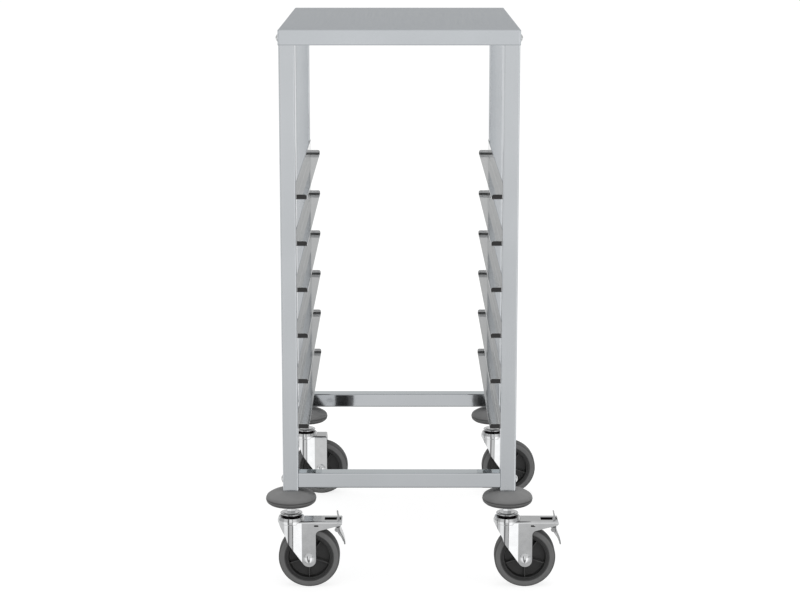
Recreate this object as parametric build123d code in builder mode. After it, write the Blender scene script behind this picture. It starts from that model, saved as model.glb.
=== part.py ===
from build123d import *
from math import acos, asin, atan2, cos, hypot, radians, sin, tan
import os

# Tray trolley: a folded worktop on four square legs, two crossbars, pairs of tray
# rails, disc bumpers and four swivel casters, the front two with a foot brake.
# Millimetres. +Z is up, the front faces -Y, and the origin is on the floor at the
# middle of the four legs.

os.makedirs("parts", exist_ok=True)

# Clearances
running_gap = 0.05
slip_gap = 0.3
swing_gap = 0.4

# Worktop
top_width = 380.0
top_depth = 550.0
top_height = 910.0
top_sheet = 1.0
top_bend = 2.0
top_corner = 2.5
apron_drop = 24.5

# Legs and crossbars
tube_size = 25.0
tube_wall = 1.5
tube_inner_corner = 0.5
crossbar_lift = 18.0

# Tray rails
rail_count = 6
rail_pitch = 75.0
rail_lowest = 267.0
rail_end_gap = 2.0
rail_sheet = 1.2
rail_inner_bend = 0.6
rail_upright = 27.0
rail_shelf = 17.5
stop_height = 8.0
stop_corner = 3.5

# Screws, bolts and what they turn into
thread_radius = 3.0
head_radius = 6.25
head_height = 4.0
head_edge = 0.8
socket_across = 4.0
socket_depth = 2.2
top_screw_drop = 14.0
top_screw_length = 10.0
nut_across = 10.0
nut_height = 5.0
crossbar_plug_length = 15.0
bolt_tip_gap = 2.0
foot_plug_height = 12.0

# Bumpers
bumper_radius = 41.2
bumper_thickness = 22.5
bumper_rim_rise = 7.8
bumper_shoulder_radius = 37.5
bumper_shoulder_rise = 15.2
bumper_base_radius = 36.5
bumper_seat_radius = 18.2
bumper_dome_drop = 0.3

# Wheels
wheel_radius = 50.0
tyre_width = 28.0
tyre_shoulder = 5.0
tyre_thickness = 10.9
hub_end_gap = 1.0
hub_boss_radius = 12.0
hub_disc = 6.0
hub_rim_thickness = 5.8
hub_rim_chamfer = 1.2
rib_count = 5
rib_thickness = 2.0
rib_height = 8.0

# Axles
axle_radius = 4.0
axle_head_radius = 8.75
axle_head_height = 4.5
axle_nut_across = 13.0
axle_nut_height = 6.5
axle_tip = 1.8
sleeve_radius = 6.0

# Forks
trail = 29.0
fork_sheet = 2.5
tyre_side_gap = 2.0
tyre_top_gap = 10.0
fork_bow_bulge = 2.9
fork_flat_start = 17.5
fork_bend = 3.0
fork_end_radius = 11.3
fork_end_drop = 2.9
fork_lead_low = (-6.0, -34.9)
fork_lead_high = (-8.6, -26.5)
fork_lead_corner = 8.0
fork_skirt = 5.0
head_ring_inset = 3.9
head_ring_crown_inset = 1.0
head_ring_bulge = 0.9
head_ring_rise = 5.0
head_ring_edge = 0.5
head_ring_round = 1.5
stem_hole_gap = 1.0

# Brake arm
arm_tyre_gap = 4.4
arm_root_depth = 16.7
arm_tip_depth = 5.8
arm_root_corner = 8.0
arm_tip_corner = 4.5
top_slot_length = 26.4
top_slot_width = 14.0
top_slot_corner = 1.0
side_slot_reach = 12.2
side_slot_drop = 7.1
side_slot_length = 7.4
side_slot_height = 2.7

# Swivel bearing
ball_radius = 2.5
ball_inset = 4.6
lower_ball_radius = 2.0
lower_ball_inset = 4.0
ball_count = 12
race_gap = 0.1
race_edge_lift = 0.45
cap_rise = 11.5
cap_dome_rise = 9.6
cap_rim_rise = 5.5
cap_crown_radius = 8.0
washer_inset = 3.4
washer_thickness = 3.0
stem_radius = 6.0
stem_thread_radius = 5.0
stem_hex_across = 13.0
stem_hex_length = 16.0
rivet_radius = 9.0
rivet_height = 2.8

# Brake lever, measured from its pivot; its middle line runs from tongue to pedal tip
lever_sheet = 2.2
lever_line = [
    (-1.2, 17.3),
    (0.8, 7.3),
    (2.2, -0.7),
    (2.2, -9.2),
    (4.3, -17.2),
    (7.5, -24.7),
    (9.9, -32.7),
    (10.7, -39.2),
]
pivot_inset = 6.9
pivot_drop = 3.8
pivot_radius = 1.75
eye_width = 12.0
tongue_width = 10.0
tongue_corner = 3.5
pedal_width = 28.0
pedal_tip_width = 9.0
pedal_shoulder = -6.7
pedal_straight = 8.0
pedal_corner = 2.0
cheek_spacing = 22.0
cheek_sheet = 2.0
cheek_outline = [
    (2.7, -7.2),
    (-3.0, -7.2, 2.0),
    (-6.1, -11.7, 2.0),
    (-3.9, -15.2, 2.0),
    (4.0, -16.2),
    (2.7, -7.2),
]

# Widths and lengths worked out from the sizes
side_leg = top_width / 2 - top_sheet - tube_size / 2
end_leg = top_depth / 2 - top_sheet - tube_size / 2
leg_face = side_leg - tube_size / 2
bore_size = tube_size - 2 * tube_wall
tube_corner = tube_wall + tube_inner_corner
rail_length = 2 * (end_leg + tube_size / 2 - rail_end_gap)
rail_bend = rail_sheet + rail_inner_bend
tyre_inner_radius = wheel_radius - tyre_thickness
hub_rim_inner = tyre_inner_radius - hub_rim_thickness
fork_inner_width = tyre_width + 2 * tyre_side_gap
hub_length = fork_inner_width - 2 * hub_end_gap
fork_half = fork_inner_width / 2 + fork_sheet
fork_bow_radius = fork_half + fork_bow_bulge
head_ring_inner = fork_bow_radius - head_ring_inset
head_ring_crown = fork_bow_radius - head_ring_crown_inset
head_ring_radius = fork_bow_radius + head_ring_bulge
cap_radius = head_ring_inner - swing_gap
ball_pitch_radius = cap_radius - ball_inset
washer_radius = fork_bow_radius - fork_sheet - washer_inset
lower_pitch_radius = washer_radius - lower_ball_inset
arm_reach = trail + wheel_radius + arm_tyre_gap
top_slot_end = arm_reach - fork_sheet
side_slot_middle = trail + side_slot_reach
pivot_reach = arm_reach - pivot_inset
eye_radius = pivot_radius + running_gap + lever_sheet
lever_top = lever_line[0][1]
pedal_bottom = lever_line[-1][1]

# Heights worked out from the floor up
fork_end_height = wheel_radius - fork_end_drop
fork_web = 2 * wheel_radius + tyre_top_gap
fork_top = fork_web + fork_sheet
fork_skirt_height = fork_top - fork_skirt
pivot_height = fork_top - pivot_drop
ring_top = fork_top + head_ring_rise
ball_height = fork_top + ball_radius + running_gap
lower_ball_height = fork_web - lower_ball_radius - running_gap
cap_bottom = ball_height + race_edge_lift
cap_rim_height = fork_top + cap_rim_rise
cap_dome_height = fork_top + cap_dome_rise
cap_height = fork_top + cap_rise
washer_top = lower_ball_height - race_edge_lift
washer_bottom = washer_top - washer_thickness
bumper_bottom = cap_height + stem_hex_length
bumper_rim_height = bumper_bottom + bumper_rim_rise
bumper_shoulder_height = bumper_bottom + bumper_shoulder_rise
foot_height = bumper_bottom + bumper_thickness
foot_plug_top = foot_height + foot_plug_height
crossbar_height = foot_height + crossbar_lift
leg_top = top_height - top_sheet - (top_bend - top_sheet)
screw_height = top_height - top_screw_drop

# Every corner has a side of the trolley (-1 left, +1 right) and an end (-1 front)
corners = {
    "front_left": (-side_leg, -end_leg),
    "front_right": (side_leg, -end_leg),
    "rear_left": (-side_leg, end_leg),
    "rear_right": (side_leg, end_leg),
}


def level(x, y, z):
    """A level plane at a height."""
    return Plane(origin=(x, y, z))


def upright(x, y, z=0):
    """A plane seen from the front; its axes are X and height, from the given point."""
    return Plane(origin=(x, y, z), x_dir=(1, 0, 0), z_dir=(0, -1, 0))


def sideways(x, y, z, facing=1):
    """A plane that faces +X or -X, with its second axis up."""
    return Plane(origin=(x, y, z), x_dir=(0, facing, 0), z_dir=(facing, 0, 0))


def along_axle(x, y, z):
    """A plane that faces +Y, with its first axis down."""
    return Plane(origin=(x, y, z), x_dir=(0, 0, -1), z_dir=(0, 1, 0))


def turned(origin, outward):
    """A plane through an axis of turning; its first axis is up, its second outward."""
    return Plane(origin=origin, x_dir=(0, 0, 1), z_dir=Vector(0, 0, 1).cross(Vector(*outward)))


def run(*corners):
    """Draw straight lines through corners (across, up) or (across, up, radius)."""
    points = [Vector(corner[0], corner[1]) for corner in corners]
    start = points[0]
    for before, at, after, corner in zip(points, points[1:], points[2:], corners[1:]):
        if len(corner) == 2:
            Line(start, at)
            start = at
            continue
        radius = corner[2]
        back = (before - at).normalized()
        ahead = (after - at).normalized()
        half_angle = radians(back.get_angle(ahead)) / 2
        reach = radius / tan(half_angle)
        middle = at + (back + ahead).normalized() * (radius / sin(half_angle) - radius)
        Line(start, at + back * reach)
        ThreePointArc(at + back * reach, middle, at + ahead * reach)
        start = at + ahead * reach
    Line(start, points[-1])


def dome_head(radius, height):
    """Draw half a head with a level rim and a round dome, seated on its first axis."""
    rise = height - head_edge
    ball = (radius**2 + rise**2) / (2 * rise)
    slope = asin(radius / ball) / 2
    run((0, height), (0, 0), (radius, 0), (radius, head_edge))
    ThreePointArc(
        (radius, head_edge),
        (ball * sin(slope), height - ball * (1 - cos(slope))),
        (0, height),
    )


# The worktop is a folded pan, open below, with a screw hole beside each leg
with BuildPart() as worktop:
    with BuildSketch(level(0, 0, top_height - apron_drop)):
        RectangleRounded(top_width, top_depth, top_corner)
    extrude(amount=apron_drop)
    fillet(worktop.faces().sort_by(Axis.Z)[-1].outer_wire().edges(), top_bend)
    with BuildSketch(level(0, 0, top_height - apron_drop)):
        RectangleRounded(
            top_width - 2 * top_sheet, top_depth - 2 * top_sheet, top_corner - top_sheet
        )
    extrude(amount=apron_drop - top_sheet, mode=Mode.SUBTRACT)
    ceiling = worktop.faces().filter_by(Plane.XY).sort_by(Axis.Z)[-2]
    fillet(ceiling.outer_wire().edges(), top_bend - top_sheet)
    for x, y in corners.values():
        with BuildSketch(sideways(x, y, screw_height, x / side_leg)):
            Circle(thread_radius + slip_gap)
        extrude(amount=tube_size, mode=Mode.SUBTRACT)
worktop.part.label = "worktop"
export_step(worktop.part, "parts/worktop.step")

# A leg has one hole at the top, and one through both walls at the crossbar
for corner, (x, y) in corners.items():
    with BuildPart() as leg:
        with BuildSketch(level(x, y, foot_height)):
            RectangleRounded(tube_size, tube_size, tube_corner)
            RectangleRounded(bore_size, bore_size, tube_inner_corner, mode=Mode.SUBTRACT)
        extrude(amount=leg_top - foot_height)
        with BuildSketch(sideways(x, y, screw_height, x / side_leg)):
            Circle(thread_radius + slip_gap)
        extrude(amount=tube_size, mode=Mode.SUBTRACT)
        with BuildSketch(sideways(x, y, crossbar_height)):
            Circle(thread_radius + slip_gap)
        extrude(amount=tube_size, both=True, mode=Mode.SUBTRACT)
    leg.part.label = f"leg_{corner}"
    export_step(leg.part, f"parts/leg_{corner}.step")

# The crossbars stand between the legs' inner faces
for end, y in (("front", -end_leg), ("rear", end_leg)):
    with BuildPart() as crossbar:
        with BuildSketch(sideways(0, y, crossbar_height)):
            RectangleRounded(tube_size, tube_size, tube_corner)
            RectangleRounded(bore_size, bore_size, tube_inner_corner, mode=Mode.SUBTRACT)
        extrude(amount=leg_face, both=True)
    crossbar.part.label = f"crossbar_{end}"
    export_step(crossbar.part, f"parts/crossbar_{end}.step")


def across_rail(inward, bottom):
    """A plane across a rail; its axes are inwards from the leg and up."""
    origin = (-inward * leg_face, 0, bottom)
    return Plane(origin=origin, x_dir=(inward, 0, 0), z_dir=(0, -inward, 0))


def rail_outline(bottom):
    """Draw a rail as seen from the side, with a round lower corner at both ends."""
    run(
        (-rail_length / 2, bottom + rail_upright),
        (-rail_length / 2, bottom, rail_bend),
        (rail_length / 2, bottom, rail_bend),
        (rail_length / 2, bottom + rail_upright),
        (-rail_length / 2, bottom + rail_upright),
    )


# A rail is an angle on the legs' inner faces
for side, inward in (("left", 1), ("right", -1)):
    for tier in range(rail_count):
        bottom = rail_lowest + tier * rail_pitch
        with BuildPart() as rail:
            with BuildSketch(across_rail(inward, bottom)):
                with BuildLine():
                    run(
                        (0, rail_upright),
                        (0, 0, rail_bend),
                        (rail_shelf, 0),
                        (rail_shelf, rail_sheet),
                        (rail_sheet, rail_sheet, rail_inner_bend),
                        (rail_sheet, rail_upright),
                        (0, rail_upright),
                    )
                make_face()
            extrude(amount=rail_length / 2, both=True)
            with BuildSketch(sideways(-inward * leg_face, 0, 0)):
                with BuildLine():
                    rail_outline(bottom)
                make_face()
            extrude(amount=rail_shelf, both=True, mode=Mode.INTERSECT)
        rail.part.label = f"rail_{side}_{tier + 1}"
        export_step(rail.part, f"parts/rail_{side}_{tier + 1}.step")

# The stops are the upturned ends of the rails' shelves
with BuildPart() as rail_stops:
    for inward in (1, -1):
        for tier in range(rail_count):
            section = across_rail(inward, rail_lowest + tier * rail_pitch)
            stop_middle = (rail_length - rail_sheet) / 2
            for end in (section.offset(stop_middle), section.offset(-stop_middle)):
                with BuildSketch(end):
                    with BuildLine():
                        run(
                            (rail_shelf, rail_sheet),
                            (rail_shelf, stop_height, stop_corner),
                            (rail_sheet, stop_height),
                            (rail_sheet, rail_sheet, rail_inner_bend),
                            (rail_shelf, rail_sheet),
                        )
                    make_face()
                extrude(amount=rail_sheet / 2, both=True)
    with BuildSketch(sideways(0, 0, 0)):
        for tier in range(rail_count):
            with BuildLine():
                rail_outline(rail_lowest + tier * rail_pitch)
            make_face()
    extrude(amount=leg_face, both=True, mode=Mode.INTERSECT)
rail_stops.part.label = "rail_stops"
export_step(rail_stops.part, "parts/rail_stops.step")


def side_screws(seat, height, length):
    """One dome-head screw per corner, pointing inwards from a seat on each side."""
    with BuildPart() as group:
        for x, y in corners.values():
            side = x / side_leg
            with BuildSketch(turned((side * seat, y, height), (side, 0, 0))):
                with BuildLine():
                    dome_head(head_radius, head_height)
                make_face()
            revolve(axis=Axis((side * seat, y, height), (side, 0, 0)))
            with BuildSketch(sideways(side * seat, y, height, -side)):
                Circle(thread_radius)
            extrude(amount=length)
            with BuildSketch(sideways(side * (seat + head_height), y, height, -side)):
                RegularPolygon(socket_across / 2, 6, major_radius=False)
            extrude(amount=socket_depth, mode=Mode.SUBTRACT)
    return group


worktop_screws = side_screws(top_width / 2, screw_height, top_screw_length)
worktop_screws.part.label = "worktop_screws"
export_step(worktop_screws.part, "parts/worktop_screws.step")

crossbar_bolts = side_screws(
    side_leg + tube_size / 2, crossbar_height, tube_size + crossbar_plug_length - bolt_tip_gap
)
crossbar_bolts.part.label = "crossbar_bolts"
export_step(crossbar_bolts.part, "parts/crossbar_bolts.step")

# Hex nuts are welded to the legs' outer walls, behind the worktop's screws
with BuildPart() as worktop_nuts:
    for x, y in corners.values():
        side = x / side_leg
        with BuildSketch(sideways(x + side * bore_size / 2, y, screw_height, -side)):
            RegularPolygon(nut_across / 2, 6, major_radius=False)
            Circle(thread_radius + running_gap, mode=Mode.SUBTRACT)
        extrude(amount=nut_height)
worktop_nuts.part.label = "worktop_nuts"
export_step(worktop_nuts.part, "parts/worktop_nuts.step")

# Threaded plugs fill both ends of both crossbars
with BuildPart() as crossbar_plugs:
    for x, y in corners.values():
        side = x / side_leg
        with BuildSketch(sideways(side * leg_face, y, crossbar_height, -side)):
            RectangleRounded(bore_size, bore_size, tube_inner_corner)
            Circle(thread_radius + running_gap, mode=Mode.SUBTRACT)
        extrude(amount=crossbar_plug_length)
crossbar_plugs.part.label = "crossbar_plugs"
export_step(crossbar_plugs.part, "parts/crossbar_plugs.step")

# Threaded plugs in the legs' feet take the casters' stems
with BuildPart() as foot_plugs:
    for x, y in corners.values():
        with BuildSketch(level(x, y, foot_height)):
            RectangleRounded(bore_size, bore_size, tube_inner_corner)
            Circle(stem_thread_radius + running_gap, mode=Mode.SUBTRACT)
        extrude(amount=foot_plug_height)
foot_plugs.part.label = "foot_plugs"
export_step(foot_plugs.part, "parts/foot_plugs.step")

# A bumper is a soft disc, domed above and flat below, held between stem and leg
for corner, (x, y) in corners.items():
    bore = stem_thread_radius + slip_gap
    dome_middle = (
        (bumper_shoulder_radius + bumper_seat_radius) / 2,
        foot_height - (foot_height - bumper_shoulder_height) * bumper_dome_drop,
    )
    with BuildPart() as bumper:
        with BuildSketch(upright(x, y)):
            with BuildLine():
                Line((bore, bumper_bottom), (bumper_base_radius, bumper_bottom))
                ThreePointArc(
                    (bumper_base_radius, bumper_bottom),
                    (bumper_radius, bumper_rim_height),
                    (bumper_shoulder_radius, bumper_shoulder_height),
                )
                ThreePointArc(
                    (bumper_shoulder_radius, bumper_shoulder_height),
                    dome_middle,
                    (bumper_seat_radius, foot_height),
                )
                run((bumper_seat_radius, foot_height), (bore, foot_height), (bore, bumper_bottom))
            make_face()
        revolve(axis=Axis((x, y, 0), (0, 0, 1)))
    bumper.part.label = f"bumper_{corner}"
    export_step(bumper.part, f"parts/bumper_{corner}.step")

# Kingpin, hex shank and thread are one forging, riveted over below the lower race
with BuildPart() as caster_stems:
    for x, y in corners.values():
        with BuildSketch(upright(x, y)):
            with BuildLine():
                run(
                    (0, washer_bottom - rivet_height),
                    (rivet_radius, washer_bottom - rivet_height, rivet_height / 2),
                    (rivet_radius, washer_bottom),
                    (stem_radius, washer_bottom),
                    (stem_radius, cap_height),
                    (stem_thread_radius, cap_height),
                    (stem_thread_radius, foot_plug_top),
                    (0, foot_plug_top),
                    (0, washer_bottom - rivet_height),
                )
            make_face()
        revolve(axis=Axis((x, y, 0), (0, 0, 1)))
        with BuildSketch(level(x, y, cap_height)):
            RegularPolygon(stem_hex_across / 2, 6, major_radius=False, rotation=30)
        extrude(amount=bumper_bottom - cap_height)
caster_stems.part.label = "caster_stems"
export_step(caster_stems.part, "parts/caster_stems.step")


def groove(pitch_radius, ball, ball_middle, edge, side):
    """Draw the grooved face of a race from bore to rim, level at an edge height.

    The groove is an arc concentric with the balls, above them (side 1) or below (-1).
    """
    radius = ball + race_gap
    half_width = (radius**2 - race_edge_lift**2) ** 0.5
    ThreePointArc(
        (pitch_radius - half_width, edge),
        (pitch_radius, ball_middle + side * radius),
        (pitch_radius + half_width, edge),
    )
    return pitch_radius - half_width, pitch_radius + half_width


# A swivel cap is the domed upper race, fixed on its stem inside the fork's head
with BuildPart() as swivel_caps:
    for x, y in corners.values():
        with BuildSketch(upright(x, y)):
            with BuildLine():
                inner, outer = groove(ball_pitch_radius, ball_radius, ball_height, cap_bottom, 1)
                run(
                    (inner, cap_bottom),
                    (stem_radius + running_gap, cap_bottom),
                    (stem_radius + running_gap, cap_height),
                    (cap_crown_radius, cap_height),
                )
                ThreePointArc(
                    (cap_crown_radius, cap_height),
                    ((cap_crown_radius + cap_radius) / 2, cap_dome_height),
                    (cap_radius, cap_rim_height),
                )
                run((cap_radius, cap_rim_height), (cap_radius, cap_bottom), (outer, cap_bottom))
            make_face()
        revolve(axis=Axis((x, y, 0), (0, 0, 1)))
swivel_caps.part.label = "swivel_caps"
export_step(swivel_caps.part, "parts/swivel_caps.step")

# A race washer is the lower race, held up under the fork's web by the riveted stem
with BuildPart() as race_washers:
    for x, y in corners.values():
        with BuildSketch(upright(x, y)):
            with BuildLine():
                inner, outer = groove(
                    lower_pitch_radius, lower_ball_radius, lower_ball_height, washer_top, -1
                )
                run(
                    (outer, washer_top),
                    (washer_radius, washer_top),
                    (washer_radius, washer_bottom),
                    (stem_radius + running_gap, washer_bottom),
                    (stem_radius + running_gap, washer_top),
                    (inner, washer_top),
                )
            make_face()
        revolve(axis=Axis((x, y, 0), (0, 0, 1)))
race_washers.part.label = "race_washers"
export_step(race_washers.part, "parts/race_washers.step")

# Every swivel head runs on an upper and a lower ring of balls
ball_rings = (
    (ball_radius, ball_pitch_radius, ball_height),
    (lower_ball_radius, lower_pitch_radius, lower_ball_height),
)
with BuildPart() as bearing_balls:
    for x, y in corners.values():
        for radius, pitch_radius, height in ball_rings:
            with Locations(level(x, y, height)):
                with PolarLocations(pitch_radius, ball_count):
                    Sphere(radius)
bearing_balls.part.label = "bearing_balls"
export_step(bearing_balls.part, "parts/bearing_balls.step")


def fork_plan(inset, end):
    """Draw the fork from above: a round bow, two facets and two flat sides.

    Each facet touches the bow and ends where a flat side starts.
    """
    bow = fork_bow_radius - inset
    facet = atan2(fork_flat_start, fork_half) - acos(
        fork_bow_radius / hypot(fork_flat_start, fork_half)
    )
    flat_x = fork_flat_start - inset * tan(facet / 2)
    flat_y = fork_half - inset
    touch_x = bow * sin(facet)
    touch_y = bow * cos(facet)
    run(
        (touch_x, touch_y),
        (flat_x, flat_y),
        (end, flat_y),
        (end, -flat_y),
        (flat_x, -flat_y),
        (touch_x, -touch_y),
    )
    ThreePointArc((touch_x, -touch_y), (-bow, 0), (touch_x, touch_y))


def fork_side(braked):
    """Draw the fork from the front: head, leading edge, axle end and any brake arm.

    The leading edge touches the round axle end.
    """
    lead = [(across, fork_top + up) for across, up in (fork_lead_low, fork_lead_high)]
    from_x = lead[0][0] - trail
    from_z = lead[0][1] - fork_end_height
    touch = atan2(from_z, from_x) + acos(fork_end_radius / hypot(from_x, from_z))
    touch_x = trail + fork_end_radius * cos(touch)
    touch_z = fork_end_height + fork_end_radius * sin(touch)
    trailing_x = trail + fork_end_radius
    if braked:
        tail = [
            (arm_reach, fork_top),
            (arm_reach, fork_top - arm_tip_depth, arm_tip_corner),
            (trailing_x, fork_top - arm_root_depth, arm_root_corner),
        ]
    else:
        tail = [(trailing_x, fork_top)]
    run(
        (touch_x, touch_z),
        (*lead[0], fork_lead_corner),
        (*lead[1], fork_lead_corner),
        (-fork_bow_radius, fork_skirt_height),
        (-fork_bow_radius, fork_top),
        *tail,
        (trailing_x, fork_end_height),
    )
    ThreePointArc(
        (trailing_x, fork_end_height),
        (trail, fork_end_height - fork_end_radius),
        (touch_x, touch_z),
    )


def head_ring():
    """Draw half the raised ring round the fork's head, with its lip over the bow."""
    wall = fork_bow_radius - fork_sheet
    lip = fork_skirt_height - head_ring_edge
    run(
        (wall, lip),
        (wall, fork_top),
        (head_ring_inner, fork_top),
        (head_ring_inner, ring_top, head_ring_edge),
        (head_ring_crown, ring_top, head_ring_edge),
        (head_ring_radius, fork_top, head_ring_round),
        (head_ring_radius, lip, head_ring_round),
        (wall, lip),
    )


for corner, (x, y) in corners.items():
    braked = corner.startswith("front")
    reach = arm_reach if braked else trail + fork_end_radius
    inner_end = reach - fork_sheet if braked else reach + fork_sheet
    foot = fork_end_height - fork_end_radius
    with BuildPart() as fork:
        with BuildSketch(level(x, y, foot)):
            with BuildLine():
                fork_plan(0, reach)
            make_face()
        extrude(amount=fork_top - foot)
        fillet(fork.faces().sort_by(Axis.Z)[-1].outer_wire().edges(), fork_bend)
        with BuildSketch(upright(x, y)):
            with BuildLine():
                fork_side(braked)
            make_face()
        extrude(amount=fork_bow_radius, both=True, mode=Mode.INTERSECT)
        with BuildSketch(upright(x, y)):
            with BuildLine():
                head_ring()
            make_face()
        revolve(axis=Axis((x, y, 0), (0, 0, 1)))
        with BuildSketch(level(x, y, foot)):
            with BuildLine():
                fork_plan(fork_sheet, inner_end)
            make_face()
        extrude(amount=fork_web - foot, mode=Mode.SUBTRACT)
        with BuildSketch(level(x, y, fork_web)):
            Circle(stem_radius + stem_hole_gap)
            if braked:
                with Locations((top_slot_end - top_slot_length / 2, 0)):
                    RectangleRounded(top_slot_length, top_slot_width, top_slot_corner)
        extrude(amount=fork_sheet, mode=Mode.SUBTRACT)
        with BuildSketch(upright(x, y)):
            with Locations((trail, wheel_radius)):
                Circle(axle_radius + running_gap)
            if braked:
                with Locations((pivot_reach, pivot_height)):
                    Circle(pivot_radius)
                with Locations((side_slot_middle, fork_top - side_slot_drop)):
                    SlotOverall(side_slot_length, side_slot_height)
        extrude(amount=fork_half, both=True, mode=Mode.SUBTRACT)
    fork.part.label = f"fork_{corner}"
    export_step(fork.part, f"parts/fork_{corner}.step")

# The axle bolt's domed head is in front, and its nut, a solid of its own, behind
for corner, (x, y) in corners.items():
    with BuildPart() as axle_bolt:
        with BuildSketch(turned((x + trail, y - fork_half, wheel_radius), (0, -1, 0))):
            with BuildLine():
                dome_head(axle_head_radius, axle_head_height)
            make_face()
        revolve(axis=Axis((x + trail, y, wheel_radius), (0, -1, 0)))
        with BuildSketch(along_axle(x + trail, y - fork_half, wheel_radius)):
            Circle(axle_radius)
        extrude(amount=2 * fork_half + axle_nut_height + axle_tip)
        with BuildSketch(along_axle(x + trail, y + fork_half, wheel_radius)):
            RegularPolygon(axle_nut_across / 2, 6, major_radius=False)
            Circle(axle_radius + running_gap, mode=Mode.SUBTRACT)
        extrude(amount=axle_nut_height)
    axle_bolt.part.label = f"axle_bolt_{corner}"
    export_step(axle_bolt.part, f"parts/axle_bolt_{corner}.step")

# The sleeve keeps the fork's sides apart, and the hub turns on it
for corner, (x, y) in corners.items():
    with BuildPart() as axle_sleeve:
        with BuildSketch(along_axle(x + trail, y, wheel_radius)):
            Circle(sleeve_radius)
            Circle(axle_radius + running_gap, mode=Mode.SUBTRACT)
        extrude(amount=fork_inner_width / 2, both=True)
    axle_sleeve.part.label = f"axle_sleeve_{corner}"
    export_step(axle_sleeve.part, f"parts/axle_sleeve_{corner}.step")

# Boss, disc and rim are one moulding, with thin ribs on both faces
for corner, (x, y) in corners.items():
    bore = sleeve_radius + running_gap
    boss = hub_length / 2
    rim = tyre_width / 2
    disc = hub_disc / 2
    with BuildPart() as wheel_hub:
        with BuildSketch(sideways(x + trail, y, wheel_radius)):
            with BuildLine():
                run(
                    (-boss, bore),
                    (-boss, hub_boss_radius),
                    (-disc, hub_boss_radius),
                    (-disc, hub_rim_inner),
                    (-rim + hub_rim_chamfer, hub_rim_inner),
                    (-rim, hub_rim_inner + hub_rim_chamfer),
                    (-rim, tyre_inner_radius),
                    (rim, tyre_inner_radius),
                    (rim, hub_rim_inner + hub_rim_chamfer),
                    (rim - hub_rim_chamfer, hub_rim_inner),
                    (disc, hub_rim_inner),
                    (disc, hub_boss_radius),
                    (boss, hub_boss_radius),
                    (boss, bore),
                    (-boss, bore),
                )
            make_face()
        revolve(axis=Axis((x + trail, y, wheel_radius), (0, 1, 0)))
        rib_inner = hub_boss_radius - rib_thickness / 2
        rib_outer = hub_rim_inner + rib_thickness / 2
        with BuildSketch(along_axle(x + trail, y, wheel_radius)):
            with PolarLocations((rib_inner + rib_outer) / 2, rib_count):
                Rectangle(rib_outer - rib_inner, rib_thickness)
        extrude(amount=disc + rib_height, both=True)
    wheel_hub.part.label = f"wheel_hub_{corner}"
    export_step(wheel_hub.part, f"parts/wheel_hub_{corner}.step")

for corner, (x, y) in corners.items():
    with BuildPart() as tyre:
        with BuildSketch(sideways(x + trail, y, wheel_radius)):
            with BuildLine():
                run(
                    (-tyre_width / 2, tyre_inner_radius),
                    (-tyre_width / 2, wheel_radius, tyre_shoulder),
                    (tyre_width / 2, wheel_radius, tyre_shoulder),
                    (tyre_width / 2, tyre_inner_radius),
                    (-tyre_width / 2, tyre_inner_radius),
                )
            make_face()
        revolve(axis=Axis((x + trail, y, wheel_radius), (0, 1, 0)))
    tyre.part.label = f"tyre_{corner}"
    export_step(tyre.part, f"parts/tyre_{corner}.step")


def lever_front():
    """Draw the brake lever as seen from its end: tongue, eye, shoulders and tip."""
    half = [
        (tongue_width / 2, lever_top, tongue_corner),
        (tongue_width / 2, eye_radius),
        (eye_width / 2, eye_radius),
        (eye_width / 2, pedal_shoulder + pedal_corner),
        (pedal_width / 2, pedal_shoulder, pedal_corner),
        (pedal_width / 2, pedal_shoulder - pedal_straight),
        (pedal_tip_width / 2, pedal_bottom, pedal_corner),
    ]
    other = [(-across, up, *radius) for across, up, *radius in reversed(half)]
    run((0, lever_top), *half, (0, pedal_bottom), *other, (0, lever_top))


# A brake lever is one strip: a tongue up through the arm's slot, a rolled eye, and a
# pedal that curves round the tyre and presses its tip on the tread
for corner, (x, y) in corners.items():
    if corner.startswith("rear"):
        continue
    pivot = (x + pivot_reach, y, pivot_height)
    with BuildPart() as brake_lever:
        with BuildSketch(upright(*pivot)):
            with BuildLine():
                Spline(*lever_line)
            trace(line_width=lever_sheet)
        extrude(amount=pedal_width / 2, both=True)
        with BuildSketch(sideways(*pivot)):
            with BuildLine():
                lever_front()
            make_face()
        extrude(amount=arm_reach, both=True, mode=Mode.INTERSECT)
        with BuildSketch(upright(*pivot)):
            Circle(eye_radius)
        extrude(amount=eye_width / 2, both=True)
        for middle in (y - cheek_spacing / 2, y + cheek_spacing / 2):
            with BuildSketch(upright(x + pivot_reach, middle, pivot_height)):
                with BuildLine():
                    run(*cheek_outline)
                make_face()
            extrude(amount=cheek_sheet / 2, both=True)
        with BuildSketch(upright(*pivot)):
            Circle(pivot_radius + running_gap)
        extrude(amount=pedal_width, both=True, mode=Mode.SUBTRACT)
    brake_lever.part.label = f"brake_lever_{corner}"
    export_step(brake_lever.part, f"parts/brake_lever_{corner}.step")

    with BuildPart() as brake_pin:
        with BuildSketch(along_axle(*pivot)):
            Circle(pivot_radius)
        extrude(amount=fork_half, both=True)
    brake_pin.part.label = f"brake_pin_{corner}"
    export_step(brake_pin.part, f"parts/brake_pin_{corner}.step")
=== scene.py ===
"""Looks of the tray trolley: its finishes, turned and moulded pieces, studio and camera."""

import logging
import math
from dataclasses import dataclass
from enum import Enum
from typing import Dict, List, Optional, Tuple, Union

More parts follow.
